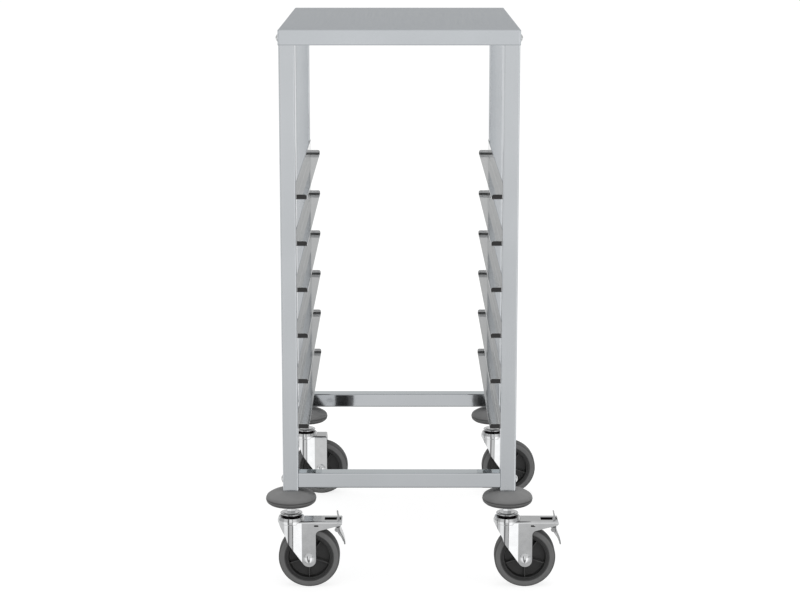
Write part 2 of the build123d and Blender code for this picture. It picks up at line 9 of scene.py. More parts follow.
import bmesh
import bpy
import numpy as np
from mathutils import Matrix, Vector


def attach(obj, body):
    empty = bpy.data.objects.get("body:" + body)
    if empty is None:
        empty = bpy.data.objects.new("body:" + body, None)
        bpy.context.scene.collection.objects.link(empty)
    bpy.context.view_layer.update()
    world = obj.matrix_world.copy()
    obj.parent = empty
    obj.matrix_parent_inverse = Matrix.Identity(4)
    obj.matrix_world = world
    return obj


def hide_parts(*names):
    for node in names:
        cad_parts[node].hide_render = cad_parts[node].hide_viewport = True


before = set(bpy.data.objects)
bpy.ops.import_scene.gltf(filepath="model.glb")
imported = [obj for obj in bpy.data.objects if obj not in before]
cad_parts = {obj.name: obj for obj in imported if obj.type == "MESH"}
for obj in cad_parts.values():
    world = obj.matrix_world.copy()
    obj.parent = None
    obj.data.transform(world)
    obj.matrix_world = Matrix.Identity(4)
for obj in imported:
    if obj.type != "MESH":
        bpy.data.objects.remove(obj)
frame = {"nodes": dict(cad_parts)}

log = logging.getLogger("tray_trolley")

Colour = Tuple[float, float, float]
Place = Tuple[float, float, float]
Span = Tuple[float, float]
Levels = Tuple[Span, ...]
Box = Tuple[Span, float, Optional[Span]]
Socket = bpy.types.NodeSocket
Value = Union[Socket, float, Colour]

MM = 0.001
WHITE: Colour = (1.0, 1.0, 1.0)

# A leg's middle, in millimetres to the side of the trolley's middle and towards its end.
SIDE_LEG = 176.5
END_LEG = 261.5

# How tightly the hairlines' noise is packed along the grain and across it.
HAIR_ALONG = 5.0
HAIR_ACROSS = 900.0

# Finer layers in a cloudy or hairline noise.
LAYERS = 3.0

# The height of hairlines and pits, in metres.
RELIEF = 0.00001

# Points on the curve that rounds a corner of an outline.
CORNER_STEPS = 6

# Points of a built piece that lie closer than this, in metres, become one.
WELD = 1e-7


class Grain(Enum):
    """The axis that a brushed surface's hairlines run along."""

    ALONG_X = (HAIR_ALONG, HAIR_ACROSS, HAIR_ACROSS)
    ALONG_Y = (HAIR_ACROSS, HAIR_ALONG, HAIR_ACROSS)
    ALONG_Z = (HAIR_ACROSS, HAIR_ACROSS, HAIR_ALONG)


class Turning(Enum):
    """The axis that a profile is turned about."""

    UPRIGHT = "upright"
    AXLE = "axle"


@dataclass(frozen=True)
class Patch:
    """A box, in millimetres, where the colour is a grey of its own; most patches here are painted
    shade.

    Each span holds the lowest and highest place on its axis. Along an axis without a
    span the box has no end.
    """

    grey: float
    x: Optional[Span] = None
    y: Optional[Span] = None
    z: Optional[Span] = None


def by_front_legs(grey: float, *boxes: Box) -> Tuple[Patch, ...]:
    """Return the same patches at both front legs.

    Args:
        grey: the patches' grey.
        boxes: each one's span sideways from the leg's middle, half its width from front
            to back and its span of heights, in millimetres.

    Returns:
        One patch for each leg and box.
    """
    return tuple(
        Patch(
            grey,
            x=(leg + sideways[0], leg + sideways[1]),
            y=(-END_LEG - half, -END_LEG + half),
            z=heights,
        )
        for leg in (-SIDE_LEG, SIDE_LEG)
        for sideways, half, heights in boxes
    )


def shade(grey: float, cool: float = 0.0) -> Colour:
    """Return a grey as a linear colour.

    Args:
        grey: the grey as it shows on screen, 0 to 255.
        cool: how far it leans to blue, as a share of the grey.

    Returns:
        Red, green and blue in linear light.
    """
    share = grey / 255.0
    linear = ((share + 0.055) / 1.055) ** 2.4 if share > 0.04045 else share / 12.92
    return (linear * (1 - cool), linear, linear * (1 + cool))


class Nodes:
    """A node tree, with short ways to add nodes and to join them."""

    def __init__(self, tree: bpy.types.NodeTree) -> None:
        """Hold a tree, with the nodes that it has."""
        self.tree = tree

    def fill(self, target: Socket, value: Value) -> None:
        """Give an input a pattern or a constant.

        Args:
            target: the input.
            value: the output of a node, a number, or a colour without its alpha.
        """
        if isinstance(value, Socket):
            self.tree.links.new(value, target)
        else:
            target.default_value = (*value, 1.0) if target.type == "RGBA" else value

    def add(self, kind: str, *values: Value, **settings: str) -> bpy.types.Node:
        """Add a node.

        Args:
            kind: the node's type, without the ShaderNode that it starts with.
            values: what its first inputs get, in order.
            settings: its own settings, by their names.

        Returns:
            The node.
        """
        node = self.tree.nodes.new(f"ShaderNode{kind}")
        for name, setting in settings.items():
            setattr(node, name, setting)
        for value, target in zip(values, node.inputs):
            self.fill(target, value)
        return node

    def result(self, kind: str, *values: Value, **settings: str) -> Socket:
        """Add a node as add does, and return its first output."""
        return self.add(kind, *values, **settings).outputs[0]

    def spread(
        self, value: Socket, low: float, high: float, start: float = 0.3, end: float = 0.7
    ) -> Socket:
        """Return a value carried from one range to another, held inside it.

        Args:
            value: the value that is carried over.
            low: the result at start.
            high: the result at end.
            start: the value that gives low.
            end: the value that gives high.

        Returns:
            The value in its new range.
        """
        return self.result("MapRange", value, start, end, low, high)

    def mixed(self, share: Value, first: Value, second: Value, blend: str = "MIX") -> Socket:
        """Return a colour between two others, or their product.

        Args:
            share: 0 for the first colour, 1 for the second.
            first: the first colour.
            second: the second colour.
            blend: the mixer's own name for what it does.

        Returns:
            The mixed colour.
        """
        mix = self.add("Mix", share, data_type="RGBA", blend_type=blend)
        low, high = (socket for socket in mix.inputs if socket.type == "RGBA")
        self.fill(low, first)
        self.fill(high, second)
        return next(socket for socket in mix.outputs if socket.type == "RGBA")

    def ramp(self, value: Socket, levels: Levels) -> Socket:
        """Return a grey that depends on a value.

        Args:
            value: the value.
            levels: value and grey of each stop, from the lowest value to the highest.

        Returns:
            The grey.
        """
        lowest, highest = levels[0][0], levels[-1][0]
        ramp = self.add("ValToRGB", self.spread(value, 0.0, 1.0, lowest, highest))
        stops = ramp.color_ramp.elements
        for place, _ in levels[1:-1]:
            stops.new((place - lowest) / (highest - lowest))
        for stop, (_, grey) in zip(stops, levels):
            stop.color = (grey, grey, grey, 1.0)
        return ramp.outputs["Color"]

    def choose(self, rays: Tuple[str, ...], shown: Socket, otherwise: Socket) -> Socket:
        """Return one shader for some kinds of ray and another for the rest.

        Args:
            rays: the kinds of ray, as Light Path names them.
            shown: the shader that those rays meet.
            otherwise: the shader that the others meet.

        Returns:
            The shader for all of them.
        """
        path = self.add("LightPath")
        picked = path.outputs[rays[0]]
        for name in rays[1:]:
            picked = self.result("Math", picked, path.outputs[name], operation="MAXIMUM")
        return self.result("MixShader", picked, otherwise, shown)


class Shader(Nodes):
    """A material's nodes, round one principled shader."""

    def __init__(self, name: str) -> None:
        """Start a material.

        Args:
            name: the material's name.
        """
        self.material = bpy.data.materials.new(name)
        self.material.use_nodes = True
        super().__init__(self.material.node_tree)
        self.surface = self.tree.nodes["Principled BSDF"]
        self.place = self.add("TexCoord").outputs["Object"]

    def set(self, **values: Value) -> None:
        """Give the shader's own sockets constants and patterns.

        Args:
            values: one value for each socket, its name in lower case with underscores.
        """
        for name, value in values.items():
            self.fill(self.surface.inputs[name.replace("_", " ").title()], value)

    def noise(self, scale: float, detail: float = 2.0, where: Optional[Socket] = None) -> Socket:
        """Return a soft random pattern between 0 and 1.

        Args:
            scale: how many blotches fit in one unit of the coordinates.
            detail: how many finer layers are added.
            where: the coordinates it is read at, by default the object's own metres.

        Returns:
            The pattern's value.
        """
        noise = self.add("TexNoise", where or self.place)
        noise.inputs["Scale"].default_value = scale
        noise.inputs["Detail"].default_value = detail
        return noise.outputs["Fac"]

    def hairlines(self, grain: Grain) -> Socket:
        """Return a noise that is stretched along the grain.

        Args:
            grain: the axis that the hairlines run along.

        Returns:
            The pattern's value.
        """
        mapping = self.add("Mapping", self.place)
        mapping.inputs["Scale"].default_value = grain.value
        return self.noise(1.0, LAYERS, mapping.outputs["Vector"])

    def swung(self, pattern: Socket, middle: float, reach: float) -> Socket:
        """Return a value that a pattern swings to both sides of a middle.

        Args:
            pattern: the pattern.
            middle: the middle.
            reach: how far the value goes to each side.

        Returns:
            The value.
        """
        return self.spread(pattern, middle - reach, middle + reach)

    def clouded(self, clouds: Socket, grey: float, reach: float, cool: float = 0.0) -> Socket:
        """Return a grey that a pattern darkens and lightens.

        Args:
            clouds: the pattern.
            grey: the grey as it shows on screen, 0 to 255.
            reach: how much darker and lighter it gets.
            cool: how far it leans to blue, as a share of the grey.

        Returns:
            The colour.
        """
        dark, light = shade(grey - reach, cool), shade(grey + reach, cool)
        return self.mixed(self.spread(clouds, 0.0, 1.0), dark, light)

    def patched(self, colour: Socket, patches: Tuple[Patch, ...], cool: float = 0.0) -> Socket:
        """Return a colour with patches laid over it.

        Args:
            colour: the colour under them.
            patches: the patches, the last one on top.
            cool: how far their greys lean to blue, as a share of the grey.

        Returns:
            The colour.
        """
        for patch in patches:
            colour = self.mixed(self.inside(patch), colour, shade(patch.grey, cool))
        return colour

    def inside(self, patch: Patch) -> Socket:
        """Return 1 inside a patch and 0 outside it.

        Args:
            patch: the patch, which has one span or more.

        Returns:
            The share.
        """
        split = self.add("SeparateXYZ", self.place)
        tests = [
            self.result("Math", split.outputs[axis], limit * MM, operation=operation)
            for axis, span in (("X", patch.x), ("Y", patch.y), ("Z", patch.z))
            for operation, limit in zip(("GREATER_THAN", "LESS_THAN"), span or ())
        ]
        share = tests[0]
        for test in tests[1:]:
            share = self.result("Math", share, test, operation="MULTIPLY")
        return share

    def grime(self) -> Socket:
        """Return the share of painted shade that a built piece carries in its mesh."""
        return self.add("Attribute", attribute_name="grime").outputs["Fac"]

    def bump(self, height: Socket, depth: float, strength: float) -> None:
        """Roughen the surface by a height pattern.

        Args:
            height: the pattern.
            depth: its full height in metres.
            strength: how much of it is shown, 0 to 1.
        """
        bump = self.add("Bump")
        bump.inputs["Distance"].default_value = depth
        bump.inputs["Strength"].default_value = strength
        self.fill(bump.inputs["Height"], height)
        self.set(normal=bump.outputs["Normal"])


@dataclass(frozen=True)
class BrushedSteel:
    """Stainless sheet or tube with hairlines along one axis.

    The hairlines are noise stretched along the grain. They vary the roughness and lift
    the surface a little, and a broad cloudy noise varies the colour.
    """

    name: str
    grain: Grain
    grey: float = 205.0
    roughness: float = 0.14
    hairline: float = 0.03
    hairline_depth: float = 0.25
    edge_tint: float = 1.0
    metal: float = 1.0
    cool: float = 0.035
    cloud_scale: float = 7.0
    cloud_grey: float = 3.0
    patches: Tuple[Patch, ...] = ()

    def build(self) -> bpy.types.Material:
        """Return the material."""
        steel = Shader(self.name)
        lines = steel.hairlines(self.grain)
        clouds = steel.noise(self.cloud_scale, LAYERS)
        colour = steel.clouded(clouds, self.grey, self.cloud_grey, self.cool)
        edge = (self.edge_tint * (1 - self.cool), self.edge_tint, self.edge_tint * (1 + self.cool))
        steel.set(
            metallic=self.metal,
            specular_tint=edge,
            base_color=steel.patched(colour, self.patches, self.cool),
            roughness=steel.swung(lines, self.roughness, self.hairline),
        )
        steel.bump(lines, RELIEF, self.hairline_depth)
        return steel.material


@dataclass(frozen=True)
class PlatedSteel:
    """Bright plated steel with faint clouds and fine pitting, and painted shade where a built
    piece carries a share of it.
    """

    name: str
    grey: float = 225.0
    roughness: float = 0.1
    clouding: float = 0.02
    cloud_scale: float = 90.0
    cloud_grey: float = 4.0
    pitting: float = 0.05
    pit_scale: float = 1800.0
    edge_tint: float = 1.0
    metal: float = 1.0
    cool: float = 0.01
    gap_shade: Optional[float] = None
    patches: Tuple[Patch, ...] = ()

    def build(self) -> bpy.types.Material:
        """Return the material."""
        plate = Shader(self.name)
        clouds = plate.noise(self.cloud_scale, LAYERS)
        colour = plate.clouded(clouds, self.grey, self.cloud_grey, self.cool)
        if self.gap_shade is not None:
            # Painted shade, by the share that a built piece carries.
            colour = plate.mixed(plate.grime(), colour, shade(self.gap_shade))
        plate.set(
            metallic=self.metal,
            specular_tint=(self.edge_tint,) * 3,
            base_color=plate.patched(colour, self.patches),
            roughness=plate.swung(clouds, self.roughness, self.clouding),
        )
        plate.bump(plate.noise(self.pit_scale), RELIEF, self.pitting)
        return plate.material


@dataclass(frozen=True)
class Moulding:
    """Moulded rubber or plastic with a fine grain, dusty clouds and painted shade where a built
    piece carries a share of it.
    """

    name: str
    grey: float
    roughness: float
    painted_shade: float
    dust: float = 5.0
    dust_scale: float = 45.0
    dust_layers: float = 4.0
    dust_roughness: float = 0.06
    grain_scale: float = 1500.0
    grain_depth: float = 0.00004
    grain_strength: float = 0.5

    def build(self) -> bpy.types.Material:
        """Return the material."""
        mould = Shader(self.name)
        clouds = mould.noise(self.dust_scale, self.dust_layers)
        colour = mould.clouded(clouds, self.grey, self.dust)
        mould.set(
            # Painted shade, by the share that a built piece carries.
            base_color=mould.mixed(mould.grime(), colour, shade(self.painted_shade)),
            roughness=mould.swung(clouds, self.roughness, self.dust_roughness),
        )
        mould.bump(mould.noise(self.grain_scale), self.grain_depth, self.grain_strength)
        return mould.material


# The heights of a dark line painted along the foot of the worktop's apron: painted shade at its
# lower edge.
APRON_EDGE_SHADE = (885.7, 886.7)

# A stop's outer face, which stands just beyond this place, is painted dark as a painted
# reflection; its inner faces are a light steel grey.
STOP_FACE = 271.9

# The heights of the six shelves, and a band of painted shade at the foot of each rear stop, where
# it rises from the shelf.
SHELVES = range(267, 643, 75)
SHADE_BAND_FROM = 250.0
SHADE_BAND_HEIGHT = 3.4

# The heights of a brake lever's middle, round its pivot, which is painted dark: painted shade
# inside the arm.
LEVER_MIDDLE_SHADE = (103.5, 112.2)

# Painted shade at a brake arm: on the pin inside it, on its inner faces and in the slot on its
# top.
PIN_SHADE: Box = ((61.5, 91.5), 17.0, None)
ARM_INSIDE_SHADE: Box = ((22.0, 81.9), 16.05, (90.0, 110.05))
ARM_SLOT_SHADE: Box = ((54.0, 81.4), 7.5, (90.0, 112.45))


class Finish(Enum):
    """Every finish on the trolley."""

    WORKTOP = BrushedSteel(
        "worktop_brushed",
        Grain.ALONG_Y,
        grey=207.0,
        roughness=0.16,
        hairline_depth=0.05,
        edge_tint=0.65,
        cool=0.04,
        # painted shade: a dark line along the apron's lower edge
        patches=(Patch(172.0, z=APRON_EDGE_SHADE),),
    )
    LEG = BrushedSteel("leg_brushed", Grain.ALONG_Z, grey=207.0, edge_tint=0.6)
    CROSSBAR = BrushedSteel(
        "crossbar_brushed", Grain.ALONG_X, grey=204.0, roughness=0.05, hairline=0.015
    )
    RAIL = BrushedSteel(
        "rail_polished",
        Grain.ALONG_Y,
        grey=185.0,
        roughness=0.07,
        hairline=0.02,
        metal=0.8,
        cool=0.01,
    )
    # The stops carry painted light: a dark painted reflection on their outer faces, and a band of
    # painted shade at the foot of each rear stop.
    STOP = BrushedSteel(
        "stop_dark_outside",
        Grain.ALONG_X,
        grey=62.0,
        roughness=0.12,
        edge_tint=0.5,
        metal=0.4,
        cool=0.0,
        patches=(
            Patch(240.0, y=(-STOP_FACE, STOP_FACE)),
            # painted shade at the foot of each rear stop
            *(
                Patch(100.0, y=(SHADE_BAND_FROM, STOP_FACE), z=(shelf, shelf + SHADE_BAND_HEIGHT))
                for shelf in SHELVES
            ),
        ),
    )
    SCREW = PlatedSteel("screw_steel", grey=232.0)
    INNER = PlatedSteel("inner_steel", grey=170.0, roughness=0.4, pitting=0.2)
    BUMPER = Moulding("bumper_rubber", grey=131.0, roughness=0.62, painted_shade=56.0)
    BRIGHT = PlatedSteel(
        "zinc_bright",
        grey=218.0,
        roughness=0.07,
        # painted shade in the gap under each swivel cap's disc
        gap_shade=26.0,
        # painted shade on the pin inside each brake arm
        patches=by_front_legs(26.0, PIN_SHADE),
    )
    BALL = PlatedSteel("ball_steel", roughness=0.06, clouding=0.01)
    FORK = PlatedSteel(
        "zinc_pressed",
        grey=216.0,
        roughness=0.07,
        pitting=0.03,
        edge_tint=0.78,
        # painted shade inside each brake arm and in the slot on its top
        patches=by_front_legs(30.0, ARM_INSIDE_SHADE, ARM_SLOT_SHADE),
    )
    HUB = Moulding("hub_plastic", grey=76.0, roughness=0.45, painted_shade=27.0, dust=3.0)
    TYRE = Moulding("tyre_grey", grey=129.0, roughness=0.7, painted_shade=86.0)
    # The lever's middle is painted dark as painted shade inside the arm.
    LEVER = PlatedSteel(
        "lever_steel", grey=196.0, roughness=0.2, metal=0.4, patches=(Patch(34.0, z=LEVER_MIDDLE_SHADE),)
    )


class Wardrobe:
    """The finishes that have been made, so that each is made once."""

    def __init__(self) -> None:
        """Start with no finish made."""
        self.made: Dict[Finish, bpy.types.Material] = {}
        self.dressed: List[str] = []

    def dress(self, piece: bpy.types.Object, finish: Finish) -> None:
        """Give a piece one finish all over.

        Args:
            piece: the object to dress.
            finish: what it is finished in.
        """
        if finish not in self.made:
            self.made[finish] = finish.value.build()
        piece.data.materials.clear()
        piece.data.materials.append(self.made[finish])
        self.dressed.append(piece.name)
        log.info("%s is dressed in %s", piece.name, finish.value.name)


def soften(corners: np.ndarray, cuts: np.ndarray, steps: int = CORNER_STEPS) -> np.ndarray:
    """Return a closed outline with its corners rounded.

    Each corner becomes a quadratic curve. It starts and ends a cut length from the
    corner, on the two sides that meet there, and the corner is its control point.

    Args:
        corners: the outline's corners in order, one row each.
        cuts: each corner's cut length.
        steps: points on each curve.

    Returns:
        The outline's points, one row each.
    """
    before = np.roll(corners, 1, axis=0) - corners
    after = np.roll(corners, -1, axis=0) - corners
    before /= np.linalg.norm(before, axis=1, keepdims=True)
    after /= np.linalg.norm(after, axis=1, keepdims=True)
    start = (corners + before * cuts[:, None])[:, None]
    end = (corners + after * cuts[:, None])[:, None]
    share = np.linspace(0.0, 1.0, steps)[None, :, None]
    corner = corners[:, None]
    curves = (1 - share) ** 2 * start + 2 * share * (1 - share) * corner + share**2 * end
    return curves.reshape(-1, 2)


def flowing(knots: np.ndarray, count: int) -> np.ndarray:
    """Return an open smooth line through knots.

    Between two knots the line is a cubic. Its slope at a knot is half the step from the
    knot before to the knot after, and each end has one more knot, mirrored.

    Args:
        knots: the knots in order, one row each.
        count: points on the line.

    Returns:
        The line's points, one row each.
    """
    longer = np.vstack([2 * knots[0] - knots[1], knots, 2 * knots[-1] - knots[-2]])
    place = np.linspace(0.0, len(knots) - 1, count)
    step = np.minimum(place.astype(int), len(knots) - 2)
    share = (place - step)[:, None]
    a, b, c, d = (longer[step + offset] for offset in range(4))
    return 0.5 * (
        2 * b
        + (c - a) * share
        + (2 * a - 5 * b + 4 * c - d) * share**2
        + (3 * b - a - 3 * c + d) * share**3
    )


def turned(
    outline: np.ndarray, centre: Place, turning: Turning, count: int = 96
) -> np.ndarray:
    """Return a surface of revolution as a grid of points.

    Each point of the outline keeps its place along the axis and goes round the axis at
    its own radius, so a row of the grid is a circle.

    Args:
        outline: radius and place along the axis of each point, in millimetres.
        centre: where the axis starts, in millimetres.
        turning: the axis it is turned about.
        count: points on each circle.

    Returns:
        The grid, outline by circle by three.
    """
    angle = np.linspace(0.0, 2 * math.pi, count, endpoint=False)[None, :]
    radius = outline[:, :1]
    along = outline[:, 1:] + 0 * angle
    first, second = radius * np.cos(angle), radius * np.sin(angle)
    if turning is Turning.UPRIGHT:
        grid = np.stack([first, second, along], axis=-1)
    else:
        grid = np.stack([first, along, second], axis=-1)
    return grid + np.array(centre)


class Skin:
    """A mesh that is put together from grids of points, in millimetres."""

    def __init__(self) -> None:
        """Start with no grid."""
        self.points: List[np.ndarray] = []
        self.faces: List[np.ndarray] = []
        self.grime: List[np.ndarray] = []
        self.count = 0

    def add(self, grid: np.ndarray, grime: np.ndarray, closed_rows: bool = True) -> None:
        """Add a closed surface.

        A face joins each point to the next along its row, the next in its column and the
        one between. Where the volume inside comes out negative, the faces are turned.

        Args:
            grid: rows by columns by three; every row is a closed loop.
            grime: each row's share of painted shade.
            closed_rows: whether the last row joins the first.
        """
        rows, columns = grid.shape[:2]
        index = np.arange(rows * columns).reshape(rows, columns)
        after = np.roll(index, -1, axis=0)
        faces = np.stack([index, after, np.roll(after, -1, 1), np.roll(index, -1, 1)], axis=-1)
        faces = (faces if closed_rows else faces[:-1]).reshape(-1, 4)
        points = grid.reshape(-1, 3)
        a, b, c, d = ((points - points.mean(axis=0))[faces[:, side]] for side in range(4))
        volume = np.sum(a * np.cross(b, c)) + np.sum(a * np.cross(c, d))
        self.points.append(points)
        self.faces.append((faces if volume > 0 else faces[:, ::-1]) + self.count)
        self.grime.append(np.repeat(grime, columns))
        self.count += len(points)

    def build(self, name: str, crease: float = 35.0) -> bpy.types.Object:
        """Return the surface as an object, smooth apart from its sharp edges.

        Args:
            name: the piece's name.
            crease: the angle in degrees from which an edge stays sharp.

        Returns:
            The piece.
        """
        mesh = bpy.data.meshes.new(name)
        points = np.concatenate(self.points) * MM
        mesh.from_pydata(points.tolist(), [], np.concatenate(self.faces).tolist())
        # Each point carries its share of painted shade, which the finishes read.
        share = mesh.attributes.new("grime", "FLOAT", "POINT")
        share.data.foreach_set("value", np.concatenate(self.grime).astype(np.float32))
        merged = bmesh.new()
        merged.from_mesh(mesh)
        bmesh.ops.remove_doubles(merged, verts=merged.verts, dist=WELD)
        merged.to_mesh(mesh)
        merged.free()
        mesh.polygons.foreach_set("use_smooth", np.ones(len(mesh.polygons), dtype=bool))
        mesh.set_sharp_from_angle(angle=math.radians(crease))
        piece = bpy.data.objects.new(name, mesh)
        bpy.context.scene.collection.objects.link(piece)
        log.info("%s is built with %d faces", name, len(mesh.polygons))
        return piece


@dataclass
class SubAssembly:
    """Pieces that belong together, with the finishes of their CAD nodes."""

    wardrobe: Wardrobe

    def corners(self) -> Dict[str, Tuple[float, float]]:
        """Return the middle of the leg at each corner, in millimetres."""
        return {
            "front_left": (-SIDE_LEG, -END_LEG),
            "front_right": (SIDE_LEG, -END_LEG),
            "rear_left": (-SIDE_LEG, END_LEG),
            "rear_right": (SIDE_LEG, END_LEG),
        }

    def dress(self, **finishes: Finish) -> None:
        """Dress CAD nodes as they are.

        Args:
            finishes: a finish for each node's name, or for the start of several names.
        """
        for start, finish in finishes.items():
            names = [start] if start in frame["nodes"] else frame["nodes"]
            for name in names:
                if name.startswith(start):
                    self.wardrobe.dress(frame["nodes"][name], finish)

    def place(
        self, piece: bpy.types.Object, finish: Finish, slot: str, body: str, *nodes: str
    ) -> None:
        """Dress a built piece and put it on its body, for the nodes it stands for.

        Args:
            piece: the built piece.
            finish: what it is finished in.
            slot: the name of a material slot; not used.
            body: the body that carries it.
            nodes: the CAD nodes that it replaces.
        """
        self.wardrobe.dress(piece, finish)
        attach(piece, body)
        if nodes:
            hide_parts(*nodes)


@dataclass
class Worktop(SubAssembly):
    """The folded sheet worktop and what fixes it."""

    def build(self) -> None:
        """Dress the worktop, its screws and their nuts."""
        self.dress(
            worktop=Finish.WORKTOP, worktop_screws=Finish.SCREW, worktop_nuts=Finish.INNER
        )


@dataclass
class TubeFrame(SubAssembly):
    """Four legs, two crossbars, their plugs and their bolts."""

    def build(self) -> None:
        """Dress the tubes and what holds them together."""
        self.dress(
            leg_=Finish.LEG,
            crossbar_front=Finish.CROSSBAR,
            crossbar_rear=Finish.CROSSBAR,
            crossbar_bolts=Finish.SCREW,
            crossbar_plugs=Finish.INNER,
            foot_plugs=Finish.INNER,
        )


@dataclass
class TrayRails(SubAssembly):
    """Six pairs of rails with their folded-up ends."""

    def build(self) -> None:
        """Dress the rails and their stops."""
        self.dress(rail_left_=Finish.RAIL, rail_right_=Finish.RAIL, rail_stops=Finish.STOP)


@dataclass
class Bumpers(SubAssembly):
    """Four soft discs between the legs and the casters."""

    bottom: float = 140.0
    thickness: float = 22.5
    bore: float = 5.3
    base_radius: float = 36.5
    radius: float = 41.2
    rim_rise: float = 7.8
    rim_rounding: float = 0.6
    rim_tuck: float = 0.4
    shoulder: Span = (37.5, 15.2)
    dome: Span = (27.8, 20.3)
    seat_radius: float = 18.2
    line_points: int = 72
    parting: float = 0.3
    parting_width: float = 0.45
    low_shade: Levels = ((0.0, 1.0), (2.0, 0.75), (4.0, 0.35), (8.5, 0.0))
    rim_shade_width: float = 0.3
    rim_shade_starts: float = 1.3
    crease: float = 50.0

    def outline(self) -> np.ndarray:
        """Return the disc's outline.

        A smooth line runs from the seat over the dome and shoulder round the rim to the
        base. It is pulled in by the parting line's height, which comes back as a narrow
        bell curve at the rim, and a straight bore and flat faces close it.

        Returns:
            Radius and height of each point.
        """
        rim = self.radius - self.rim_rounding
        knots = np.array(
            [
                (self.seat_radius, self.thickness),
                self.dome,
                self.shoulder,
                (rim, (self.rim_rise + self.shoulder[1]) / 2),
                (self.radius, self.rim_rise),
                (rim - self.rim_tuck, self.rim_rise / 2 - self.rim_rounding),
                (self.base_radius, 0.0),
            ]
        )
        line = flowing(knots, self.line_points)
        bell = np.exp(-(((line[:, 1] - self.rim_rise) / self.parting_width) ** 2))
        line[:, 0] += self.parting * (bell - 1)
        return np.vstack([[(self.bore, self.thickness)], line, [(self.bore, 0.0)]])

    def build(self) -> None:
        """Build the four discs.

        They are darkened by painted shade towards the base, by height, and all round the rim. The
        rim's band of painted shade fades in over one width, and starts a number of widths inside
        its radius.
        """
        outline = self.outline()
        radius, rise = outline.T
        low = np.interp(rise, *np.array(self.low_shade).T)
        rim = (radius - self.radius) / self.rim_shade_width + self.rim_shade_starts
        grime = np.maximum(low, np.clip(rim, 0.0, 1.0))
        for corner, (x, y) in self.corners().items():
            skin = Skin()
            skin.add(turned(outline, (x, y, self.bottom), Turning.UPRIGHT), grime)
            piece = skin.build(f"soft_bumper_{corner}", self.crease)
            self.place(piece, Finish.BUMPER, "bumper_rubber", "frame", f"bumper_{corner}")


@dataclass
class SwivelHeads(SubAssembly):
    """The casters' stems, domed caps, races and balls."""

    fork_top: float = 112.5
    bore: float = 6.05
    crown: Span = (8.0, 11.5)
    step: Span = (13.2, 11.9)
    step_foot: Span = (1.0, 0.7)
    disc: Span = (18.4, 10.5)
    disc_slope: Span = (1.0, 0.5)
    disc_edge: Span = (0.2, 1.1)
    disc_lip: Span = (1.0, 1.4)
    neck_radius: float = 15.4
    neck_gap: float = 1.5
    flange: Span = (16.9, 4.5)
    bottom: float = 3.0
    groove: Span = (12.5, 5.3)
    groove_half: float = 2.6
    groove_side: Span = (2.2, 0.7)

    def outline(self) -> Tuple[np.ndarray, np.ndarray]:
        """Return the cap's outline, with painted shade in the gap below its disc.

        Corners run from the bore over the crown, a shallow step and the disc's edge, in
        under it to the neck, down to the flange and back over the ball groove. Each is
        rounded by a cut of its own.

        Returns:
            Radius and height of each point, and the share of painted shade there.
        """
        step, step_top = self.step
        disc, disc_top = self.disc
        groove, top = self.groove
        half, (side, fall) = self.groove_half, self.groove_side
        # Each corner's radius, height, cut and share of painted shade.
        table = np.array(
            [
                (self.bore, self.crown[1], 0.2, 0.0),
                (*self.crown, 0.8, 0.0),
                (*self.step, 0.5, 0.0),
                (step + self.step_foot[0], step_top - self.step_foot[1], 0.4, 0.0),
                (disc - self.disc_slope[0], step_top - self.disc_slope[1], 0.7, 0.0),
                (disc, disc_top, 0.6, 0.0),
                (disc - self.disc_edge[0], disc_top - self.disc_edge[1], 0.4, 0.0),
                (disc - self.disc_lip[0], disc_top - self.disc_lip[1], 0.2, 1.0),
                (self.neck_radius, disc_top - self.neck_gap, 0.3, 1.0),
                (self.neck_radius, self.flange[1], 0.3, 1.0),
                (*self.flange, 0.2, 1.0),
                (self.flange[0], self.bottom, 0.2, 1.0),
                (groove + half, self.bottom, 0.1, 1.0),
                (groove + side, top - fall, 0.3, 1.0),
                (groove, top, 0.5, 1.0),
                (groove - side, top - fall, 0.3, 1.0),
                (groove - half, self.bottom, 0.1, 1.0),
                (self.bore, self.bottom, 0.2, 1.0),
            ]
        )
        return soften(table[:, :2], table[:, 2]), np.repeat(table[:, 3], CORNER_STEPS)

    def build(self) -> None:
        """Build the four caps as one piece and dress the rest of the heads."""
        outline, gap_shade = self.outline()
        skin = Skin()
        for x, y in self.corners().values():
            skin.add(turned(outline, (x, y, self.fork_top), Turning.UPRIGHT), gap_shade)
        piece = skin.build("domed_swivel_caps")
        self.place(piece, Finish.BRIGHT, "zinc_bright", "frame", "swivel_caps")
        self.dress(
            caster_stems=Finish.BRIGHT, race_washers=Finish.BRIGHT, bearing_balls=Finish.BALL
        )


@dataclass
class Forks(SubAssembly):
    """The pressed forks with their axle bolts and sleeves."""

    def build(self) -> None:
        """Dress the forks and the axles in them."""
        self.dress(fork_=Finish.FORK, axle_bolt_=Finish.BRIGHT, axle_sleeve_=Finish.INNER)


